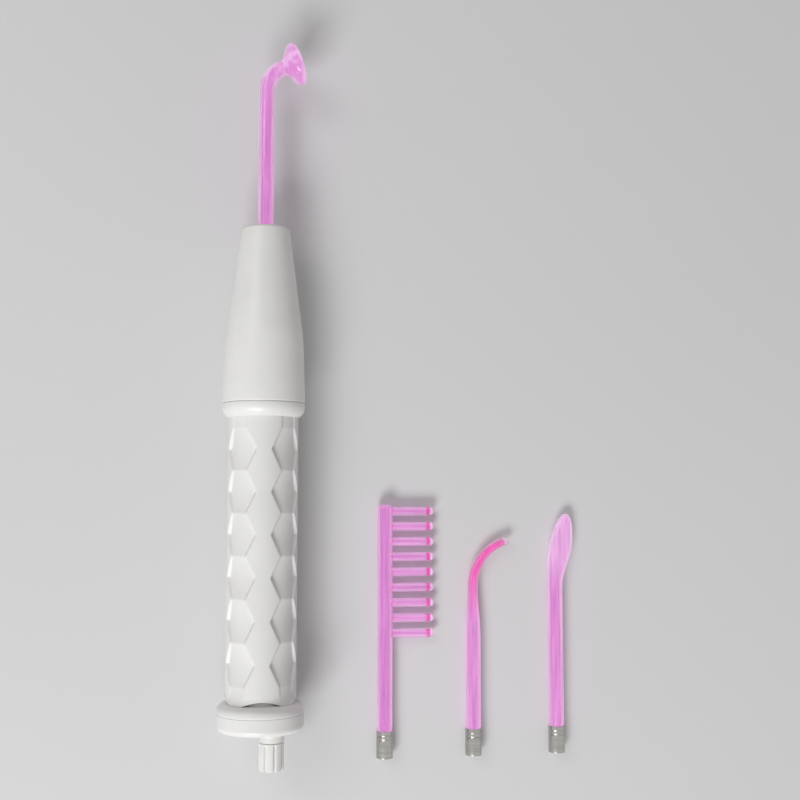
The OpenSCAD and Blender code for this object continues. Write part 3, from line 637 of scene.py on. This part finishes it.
knob = bmesh.new()
knob_outline = [(0, knob_low.y), (knob_r, knob_low.y), (knob_r, knob_top_y),
                (shaft_r, knob_top_y), (shaft_r, clip_y), (clip_groove_r, clip_y),
                (clip_groove_r, clip_top_y), (shaft_r, clip_top_y), (shaft_r, knob_high.y),
                (0, knob_high.y)]
points = [knob.verts.new((knob_axis.x + r, y, knob_axis.z)) for r, y in knob_outline]
for pair in zip(points, points[1:]):
    knob.edges.new(pair)
bmesh.ops.bevel(knob, geom=points[1:3], offset=knob_edge, affect="VERTICES", segments=3,
                profile=0.5, material=-1)
near_rim = knob_axis.x + knob_r - MM / 100
side = [e for e in knob.edges if min(v.co.x for v in e.verts) > near_rim]
bmesh.ops.subdivide_edges(knob, edges=side, cuts=knob_cuts)
turn_round(knob, knob_axis, knob_steps)
print("knob diameter in millimetres:", round(2 * knob_r / MM, 1))

# %% [markdown]
# The flutes give the fingers a hold. They are shallow round grooves that stop short of the knob's
# shoulder, so each vertex near a groove is pulled in by the depth of the groove there. That leaves
# a clean mesh, where cutting grooves out with boolean tools would leave long thin faces.

# %% Flutes
knob_flutes = 8
flute_r = 0.9 * MM
flute_depth = 1.2 * MM
flute_turn = math.radians(13.5)
flute_top_y = knob_top_y - 1.4 * MM
flute_pitch = 2 * math.pi / knob_flutes
off_shaft = 1.5 * shaft_r

for vert in knob.verts:
    out = Vector((vert.co.x - knob_axis.x, 0, vert.co.z - knob_axis.z))
    turn = math.atan2(-out.z, out.x) - flute_turn
    turn = (turn + flute_pitch / 2) % flute_pitch - flute_pitch / 2
    past_top = max(0, vert.co.y - flute_top_y)
    reach = flute_r ** 2 - (knob_r * turn) ** 2 - past_top ** 2
    if out.length > off_shaft and reach > 0:
        out *= 1 - flute_depth * math.sqrt(reach) / flute_r / out.length
        vert.co.x, vert.co.z = knob_axis.x + out.x, knob_axis.z + out.z
bmesh.ops.recalc_face_normals(knob, faces=knob.faces[:])
keep(knob, "fluted_knob", "knob", "knob", white_shell, "intensity_knob")

# %% [markdown]
# The electrodes are blown from one size of glass tube. A ring of vertices is swept along the tube
# and changes its size and tilt on the way, so straight stems, bends, tapers and the mushroom's head
# are all one loft. The ends are closed with flat faces, or with rings that shrink to a pole.

# %% Glass loft helper
glass_r = 4.2 * MM
wall = 1 * MM
stub_r = 3.65 * MM
stub_y = 2.05 * MM
stub_top = 14.05 * MM
stub_ledge = 0.05 * MM
RING = 64
POLE = 0.04 * MM


def foot_of(ferrule):
    """The middle of a ferrule's closed end, where its electrode begins."""
    centre = middle(ferrule)
    return Vector((centre.x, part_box(ferrule)[0].y, centre.z))


def ring_matrix(foot, place, tilt, size):
    """Places a unit ring at (across, along) from a foot, tilted towards +X, with two radii."""
    centre = Vector((foot.x + place[0], foot.y + place[1], foot.z))
    turn = Matrix.Rotation(-tilt, 4, "Z") @ Matrix.Rotation(-math.pi / 2, 4, "X")
    return Matrix.Translation(centre) @ turn @ Matrix.Diagonal((size[0], size[1], 1, 1))


def ring_places(foot, rings):
    """The matrices of rings that are each given as (place, tilt, one radius or two)."""
    return [ring_matrix(foot, at, tilt, size if isinstance(size, tuple) else (size, size))
            for at, tilt, size in rings]


def loft(bm, matrices, inward=False):
    """Sweeps one ring through its places and closes both ends."""
    ring = bmesh.ops.create_circle(bm, segments=RING, radius=1)["verts"]
    edges = list({e for v in ring for e in v.link_edges})
    bmesh.ops.transform(bm, matrix=matrices[0], verts=ring)
    faces = bmesh.ops.edgeloop_fill(bm, edges=edges)["faces"]
    for before, after in zip(matrices, matrices[1:]):
        grown = bmesh.ops.extrude_edge_only(bm, edges=edges)["geom"]
        ring = [g for g in grown if isinstance(g, bmesh.types.BMVert)]
        bmesh.ops.transform(bm, matrix=after @ before.inverted(), verts=ring)
        faces += [g for g in grown if isinstance(g, bmesh.types.BMFace)]
        edges = [g for g in grown if isinstance(g, bmesh.types.BMEdge)
                 and all(v in ring for v in g.verts)]
    faces += bmesh.ops.edgeloop_fill(bm, edges=edges)["faces"]
    bmesh.ops.recalc_face_normals(bm, faces=faces)
    if inward:
        bmesh.ops.reverse_faces(bm, faces=faces)


def base_rings(shrink):
    """The foot of every electrode: a thin stub in the ferrule, then the full tube."""
    slope = stub_ledge + 2 * min(shrink, wall)
    return [((0, stub_y + shrink), 0, stub_r - shrink), ((0, stub_top), 0, stub_r - shrink),
            ((0, stub_top + slope), 0, glass_r - shrink)]


def bend_rings(start, radius, angle, size, steps=24):
    """Rings round a bend towards +X that begins at start along the tube."""
    turns = [angle * i / steps for i in range(steps + 1)]
    return [((radius * (1 - math.cos(t)), start + radius * math.sin(t)), t, size) for t in turns]


print("glass tube in millimetres:", round(2 * glass_r / MM, 1))

# %% [markdown]
# Each electrode ends in a nickel ferrule that plugs into the socket. It is a deep cup with two
# grooves rolled in below its rim, where the metal is pressed onto the glass, and a thin contact pin
# that reaches up into the gas.

# %% Ferrules
ferrule_r = 4.4 * MM
ferrule_in = 3.7 * MM
ferrule_len = 14 * MM
ferrule_floor = 2 * MM
ferrule_edge = 0.4 * MM
pin_r = 0.5 * MM
pin_len = 12 * MM
roll_depth = 0.35 * MM
roll_half = 0.45 * MM
roll_edge = 0.12 * MM
roll_floor = 0.2 * MM
roll_heights = (9.6 * MM, 11.6 * MM)
ferrule_steps = 96

for kind in ("mushroom", "comb", "point", "spoon"):
    foot = foot_of(kind + "_ferrule")
    cup = [(0, 0, 0), (ferrule_r, 0, ferrule_edge)]
    for height in roll_heights:
        cup += [(ferrule_r, height - roll_half, roll_edge),
                (ferrule_r - roll_depth, height, roll_floor),
                (ferrule_r, height + roll_half, roll_edge)]
    cup += [(ferrule_r, ferrule_len, ferrule_edge / 2), (ferrule_in, ferrule_len, 0),
            (ferrule_in, ferrule_floor, 0), (pin_r, ferrule_floor, 0),
            (pin_r, ferrule_floor + pin_len, 0), (0, ferrule_floor + pin_len, 0)]
    outline = [(r, foot.y + y, rounding) for r, y, rounding in cup]
    turned = lathe(outline, foot, steps=ferrule_steps, closed=False)
    keep(turned, kind + "_ferrule_turned", kind + "_electrode", "nickel", bright_nickel,
         kind + "_ferrule")

# %% [markdown]
# The glass is clear with a breath of violet, and the flame that bent it left faint waves. A little
# sheen lifts its rim, which looks pale on real glass tube.

# %% Glass
wave_size = 6 * MM
wave_stretch = (1, 0.3, 1)
wave_depth = 0.05 * MM
wave_strength = 0.5
clear_tint = (0.99, 0.90, 0.985)
wave_tint = tuple(0.94 * c for c in clear_tint)
glass_rough = (0.0, 0.04)

violet_glass, nodes, links, shader = new_finish("violet_glass")
waves = noise_at(nodes, links, wave_size, wave_stretch)
tint = ramp(nodes, links, waves, [(NOISE_LOW, wave_tint), (NOISE_HIGH, clear_tint)])
links.new(tint, shader.inputs["Base Color"])
links.new(wander(nodes, links, waves, *glass_rough), shader.inputs["Roughness"])
raise_grain(nodes, links, shader, waves, wave_depth, wave_strength)
shader.inputs["Transmission Weight"].default_value = 1.0
shader.inputs["IOR"].default_value = 1.47
shader.inputs["Sheen Weight"].default_value = 0.4
shader.inputs["Sheen Roughness"].default_value = 0.35
shader.inputs["Sheen Tint"].default_value = (1, 0.82, 1, 1)
print("glass ready")

# %% [markdown]
# The colour comes from the gas, which glows by itself: a deep core along the middle of the bore,
# and a pale halo round it that lets the core through. The halo is partly the gas's own glow and
# partly a painted pale rim: its pale emission stands in for the light that the glass wall catches
# at the edges of the tube. The halo bites a hair into the glass, because a film of air between the
# two would turn the rim of the tube dark. Each electrode has its own run of colours along the tube.

# %% Glow
# The halo reaches just inside the glass, so its pale emission paints a pale rim along every tube.
halo_in = wall - 0.02 * MM
core_in = 1.75 * MM
streak_size = 1.2 * MM
streak_run = 0.04
streak_tints = [(NOISE_LOW, (0.8, 0.72, 0.82)), (NOISE_HIGH, (1.12, 1.12, 1.12))]
unlit_tints = [(NOISE_LOW, (0.10, 0.03, 0.10)), (NOISE_HIGH, (0.16, 0.05, 0.16))]
cloud_size = 7 * MM
cloud_tint = (0.86, 0.62, 0.85, 1)
cloud_edge = (0.48, 0.62)
cloud_reach = (0.82, 0.88)


def glowing_gas(name, axis_index, start, end, stops, alpha=1.0, swirl=0.0):
    """Gas that glows in colours from start to end along one axis, with streaks along it."""
    material, nodes, links, shader = new_finish(name)
    place = nodes.new("ShaderNodeTexCoord")
    split = nodes.new("ShaderNodeSeparateXYZ")
    links.new(place.outputs["Object"], split.inputs["Vector"])
    along = nodes.new("ShaderNodeMapRange")
    along.inputs["From Min"].default_value = start
    along.inputs["From Max"].default_value = end
    links.new(split.outputs[axis_index], along.inputs["Value"])
    colour = ramp(nodes, links, along.outputs["Result"], stops)
    stretch = [streak_run if i == axis_index else 1 for i in range(3)]
    streaks = noise_at(nodes, links, streak_size, stretch, 2)
    shade = nodes.new("ShaderNodeMix")
    shade.data_type = "RGBA"
    shade.blend_type = "MULTIPLY"
    shade.inputs["Factor"].default_value = 1
    links.new(colour, shade.inputs["A"])
    links.new(ramp(nodes, links, streaks, streak_tints), shade.inputs["B"])
    glow = shade.outputs["Result"]
    if swirl:
        cloud = nodes.new("ShaderNodeMix")
        cloud.data_type = "RGBA"
        cloud.inputs["B"].default_value = cloud_tint
        curls = noise_at(nodes, links, cloud_size, detail=3)
        clear, thick, full = (0, 0, 0), (swirl, swirl, swirl), (1, 1, 1)
        puffs = ramp(nodes, links, curls, [(cloud_edge[0], clear), (cloud_edge[1], thick)])
        reach = ramp(nodes, links, along.outputs["Result"],
                     [(cloud_reach[0], clear), (cloud_reach[1], full)])
        masked = nodes.new("ShaderNodeMath")
        masked.operation = "MULTIPLY"
        links.new(puffs, masked.inputs[0])
        links.new(reach, masked.inputs[1])
        links.new(masked.outputs[0], cloud.inputs["Factor"])
        links.new(glow, cloud.inputs["A"])
        glow = cloud.outputs["Result"]
        links.new(wander(nodes, links, masked.outputs[0], alpha, 1), shader.inputs["Alpha"])
    links.new(glow, shader.inputs["Emission Color"])
    shader.inputs["Emission Strength"].default_value = 1.0
    links.new(ramp(nodes, links, streaks, unlit_tints), shader.inputs["Base Color"])
    shader.inputs["Roughness"].default_value = 0.9
    shader.inputs["Alpha"].default_value = alpha
    return material


VIOLET = (0.50, 0.09, 0.42)
ORCHID = (0.65, 0.24, 0.58)
PALE = (0.80, 0.43, 0.72)
MILK = (0.86, 0.62, 0.82)
MAGENTA = (0.78, 0.05, 0.38)
ROSE = (0.86, 0.10, 0.42)
print("glow helper ready")

# %% [markdown]
# An electrode is made in two goes. The glass is one loft for its outside and a second for its
# inside, turned inside out, so that light bends at both faces of a real wall. The gas is the same
# sweep again, thinner, once for the halo and once for the core.

# %% Blow and fill


def blow(name, body, foot, rings_for, node):
    """A glass electrode: its outside, and its inside a wall's thickness in."""
    bm = bmesh.new()
    for shrink in (0, wall):
        loft(bm, ring_places(foot, rings_for(shrink)), inward=shrink > 0)
    keep(bm, name, body, "glass", violet_glass, node)


def gas(name, body, foot, rings_for, halo, core):
    """The glowing gas inside an electrode: a halo that fills the bore, and a deeper core."""
    for layer, shrink, material in (("halo", halo_in, halo), ("core", core_in, core)):
        bm = bmesh.new()
        loft(bm, ring_places(foot, rings_for(shrink)))
        keep(bm, name + "_" + layer, body, "glass", material)


print("wall of the glass in millimetres:", round(wall / MM, 2))

# %% [markdown]
# The mushroom electrode sits in the nose. Its stem bends over to the right and opens into a hollow
# head with a rolled rim and a nearly flat face, which is the part that strokes the skin.

# %% Mushroom electrode
mushroom_foot = foot_of("mushroom_ferrule")
stem_end = 106.8 * MM
stem_bend = 14 * MM
stem_angle = math.radians(70)
neck_len = 6.3 * MM
head_r = 11.4 * MM
rim_r = 2.8 * MM
face_rise = 0.8 * MM
flare_back = math.radians(-60)
flare_steps = 12
rim_steps = 20
face_steps = 12


def head_rings(shrink):
    """Rings of the head, from the end of the bend to the middle of its face."""
    tube, rim = glass_r - shrink, rim_r - shrink
    centre = head_r - rim_r
    edge = Vector((centre + rim * math.cos(flare_back), neck_len + rim * math.sin(flare_back)))
    knee = Vector((tube, edge.y - (edge.x - tube) * math.tan(math.pi / 2 + flare_back)))
    points = []
    for i in range(1, flare_steps + 1):
        t = i / flare_steps
        points.append((1 - t) ** 2 * Vector((tube, 0)) + 2 * t * (1 - t) * knee + t * t * edge)
    for i in range(1, rim_steps + 1):
        a = flare_back + (math.pi / 2 - flare_back) * i / rim_steps
        points.append(Vector((centre + rim * math.cos(a), neck_len + rim * math.sin(a))))
    for i in range(1, face_steps + 1):
        s = i / face_steps
        rise = face_rise * s * (2 - s)
        points.append(Vector((max(centre * (1 - s), POLE), neck_len + rim + rise)))
    end = Vector((stem_bend * (1 - math.cos(stem_angle)),
                  stem_end + stem_bend * math.sin(stem_angle)))
    along = Vector((math.sin(stem_angle), math.cos(stem_angle)))
    return [(tuple(end + along * p.y), stem_angle, p.x) for p in points]


def mushroom_rings(shrink):
    """Rings of the whole mushroom electrode."""
    bend = bend_rings(stem_end, stem_bend, stem_angle, glass_r - shrink)
    return base_rings(shrink) + bend + head_rings(shrink)


blow("mushroom_glass_blown", "mushroom_electrode", mushroom_foot, mushroom_rings,
     "mushroom_glass")
mushroom_span = (mushroom_foot.y, cad_box[1].y)
mushroom_halo = glowing_gas("mushroom_halo", 1, *mushroom_span, [(0, PALE), (1, PALE)],
                            alpha=0.4, swirl=0.65)
mushroom_core = glowing_gas("mushroom_core", 1, *mushroom_span,
                            [(0, VIOLET), (0.7, VIOLET), (1, ORCHID)])
gas("mushroom_gas", "mushroom_electrode", mushroom_foot, mushroom_rings, mushroom_halo,
    mushroom_core)

# %% [markdown]
# The comb is a straight tube with a row of closed teeth melted onto its side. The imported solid
# already has the joined glass with its hollow, so it keeps that and only takes the glass finish.
# The gas is new: a column in the tube and one in each tooth. The core of a tooth stops short of the
# round tip, which stays pale.

# %% Comb electrode
comb_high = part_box("comb_glass")[1]
comb_foot = foot_of("comb_ferrule")
dress("comb_glass", violet_glass)
comb_teeth = 9
tooth_r = 2.45 * MM
tooth_pitch = 8.1 * MM
tooth_dome = comb_high.x - comb_foot.x - tooth_r
tooth_end = tooth_dome + 0.15 * MM
tooth_taper = 1 * MM
dome_steps = 6
comb_top = 133 * MM
first_tooth = comb_top - wall - tooth_r


def comb_rings(shrink):
    """Rings of the comb's straight column."""
    return base_rings(shrink) + [((0, comb_top - shrink), 0, glass_r - shrink)]


def tooth_gas(layer, size, ends, material):
    """One layer of the gas in all the teeth along +X, closed by end rings of (x, radius)."""
    bm = bmesh.new()
    spots = [(glass_r - wall, size)] + ends
    for i in range(comb_teeth):
        height = first_tooth - i * tooth_pitch
        loft(bm, ring_places(comb_foot, [((x, height), math.pi / 2, r) for x, r in spots]))
    keep(bm, "comb_tooth_" + layer, "comb_electrode", "glass", material)


comb_span = (comb_foot.y, comb_high.y)
comb_halo = glowing_gas("comb_halo", 1, *comb_span, [(0, PALE), (1, PALE)], alpha=0.4)
comb_core = glowing_gas("comb_core", 1, *comb_span, [(0, VIOLET), (1, VIOLET)])
gas("comb_gas", "comb_electrode", comb_foot, comb_rings, comb_halo, comb_core)
tooth_halo_r = tooth_r - halo_in
tooth_core_r = tooth_r - core_in
dome_turns = [math.pi / 2 * i / dome_steps for i in range(dome_steps + 1)]
dome = [(tooth_dome + tooth_halo_r * math.sin(a), max(tooth_halo_r * math.cos(a), POLE))
        for a in dome_turns]
blunt = [(tooth_end - tooth_taper, tooth_core_r), (tooth_end, tooth_core_r / 2)]
tooth_span = (comb_foot.x + glass_r - wall, comb_foot.x + tooth_dome + tooth_halo_r)
halo_run = [(0, MAGENTA), (0.066, PALE), (0.83, PALE), (0.875, MAGENTA), (0.935, MAGENTA),
            (0.95, MILK), (1, MILK)]
core_run = [(0, MAGENTA), (0.085, VIOLET), (0.81, VIOLET), (0.866, MAGENTA), (1, MAGENTA)]
tooth_halo = glowing_gas("tooth_halo", 0, *tooth_span, halo_run, alpha=0.5)
tooth_core = glowing_gas("tooth_core", 0, *tooth_span, core_run)
tooth_gas("halo", tooth_halo_r, dome, tooth_halo)
tooth_gas("core", tooth_core_r, blunt, tooth_core)

# %% [markdown]
# The bent point is drawn out thin in the flame and curved, so the discharge crowds into its end.
# That end glows a hot rose, and the last few millimetres are a solid clear bead.

# %% Bent point electrode
point_foot = foot_of("point_ferrule")
bend_r = 2.7 * MM
point_r = 2.15 * MM
taper_start = 62 * MM
taper_end = 89 * MM
point_bend = 25 * MM
point_angle = math.radians(75)
taper_steps = 12
tip_steps = 8


def point_rings(shrink):
    """Rings of the bent point: tube, soft taper, curve and round tip."""
    rings = base_rings(shrink)
    for i in range(taper_steps + 1):
        t = i / taper_steps
        ease = step(t - 0.5, 0.5)
        rings.append(((0, taper_start + (taper_end - taper_start) * t), 0,
                      glass_r + (bend_r - glass_r) * ease - shrink))
    stop = point_angle - 2 * shrink / point_bend
    for at, tilt, _ in bend_rings(taper_end, point_bend, stop, 0)[1:]:
        rings.append((at, tilt, bend_r + (point_r - bend_r) * tilt / stop - shrink))
    tip_at = rings[-1][0]
    for i in range(1, tip_steps + 1):
        a = math.pi / 2 * i / tip_steps
        out = (point_r - shrink) * math.sin(a)
        rings.append(((tip_at[0] + out * math.sin(stop), tip_at[1] + out * math.cos(stop)), stop,
                      max((point_r - shrink) * math.cos(a), POLE)))
    return rings


blow("point_glass_blown", "point_electrode", point_foot, point_rings, "point_glass")
point_span = (point_foot.y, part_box("point_glass")[1].y)
point_halo = glowing_gas("point_halo", 1, *point_span,
                         [(0, PALE), (0.6, PALE), (0.85, ROSE), (1, ROSE)], alpha=0.55)
point_core = glowing_gas("point_core", 1, *point_span,
                         [(0, VIOLET), (0.6, VIOLET), (0.85, MAGENTA), (1, MAGENTA)])
gas("point_gas", "point_electrode", point_foot, point_rings, point_halo, point_core)

# %% [markdown]
# The spoon is a tube whose end was blown wide and pressed flat into a leaf that leans to one side.
# Rings with two different radii make it, and its gas thins out there, so the leaf looks paler than
# the stem.

# %% Spoon electrode
spoon_foot = foot_of("spoon_ferrule")
leaf_start = 90 * MM
leaf_len = 38 * MM
leaf_belly = 0.505
leaf_half = 6.45 * MM
leaf_thick = 3.7 * MM
leaf_lean = 3.3 * MM
lean_in, lean_out = 1.3, 1.1
leaf_neck = 4 * MM
leaf_steps = 48


def spoon_rings(shrink):
    """Rings of the spoon: tube, then a leaf that swells, leans and closes in a blunt point."""
    rings = base_rings(shrink) + [((0, leaf_start - leaf_neck), 0, glass_r - shrink)]
    for i in range(leaf_steps + 1):
        t = math.sin(math.pi / 2 * i / leaf_steps)
        swell = step(t - leaf_belly / 2, leaf_belly / 2)
        up = max(0, (t - leaf_belly) / (1 - leaf_belly))
        close = math.sqrt(max(0, 1 - up ** 2))
        lean = leaf_lean * (min(t / leaf_belly, 1) ** lean_in + up ** lean_out)
        half = (glass_r + (leaf_half - glass_r) * swell - shrink) * close
        thick = (glass_r + (leaf_thick - glass_r) * swell - shrink) * close
        rings.append(((lean, leaf_start + (leaf_len - shrink) * t), 0,
                      (max(half, POLE), max(thick, POLE))))
    return rings


blow("spoon_glass_blown", "spoon_electrode", spoon_foot, spoon_rings, "spoon_glass")
spoon_span = (spoon_foot.y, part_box("spoon_glass")[1].y)
spoon_halo = glowing_gas("spoon_halo", 1, *spoon_span,
                         [(0, PALE), (0.68, PALE), (0.82, MILK), (1, MILK)], alpha=0.5)
spoon_core = glowing_gas("spoon_core", 1, *spoon_span,
                         [(0, VIOLET), (0.68, VIOLET), (0.85, ORCHID), (1, ORCHID)])
gas("spoon_gas", "spoon_electrode", spoon_foot, spoon_rings, spoon_halo, spoon_core)

# %% [markdown]
# The set lies on a plain pale floor, a thin disc that is wide enough for every view.

# %% Floor
floor_r = 3
floor_mesh = bmesh.new()
bmesh.ops.create_circle(floor_mesh, cap_ends=True, segments=96, radius=floor_r)
bmesh.ops.translate(floor_mesh, verts=floor_mesh.verts[:], vec=(0, 0, cad_box[0].z))
floor_data = bpy.data.meshes.new("floor")
floor_mesh.to_mesh(floor_data)
floor_mesh.free()
pale_floor = grained("pale_floor", (0.69, 0.69, 0.70), (0.705, 0.705, 0.715), (0.6, 0.7),
                     patch=300 * MM, grain=1 * MM, depth=0.01 * MM)
floor_data.materials.append(pale_floor)
floor = bpy.data.objects.new("floor", floor_data)
scene.collection.objects.link(floor)
print("floor radius in metres:", floor_r)
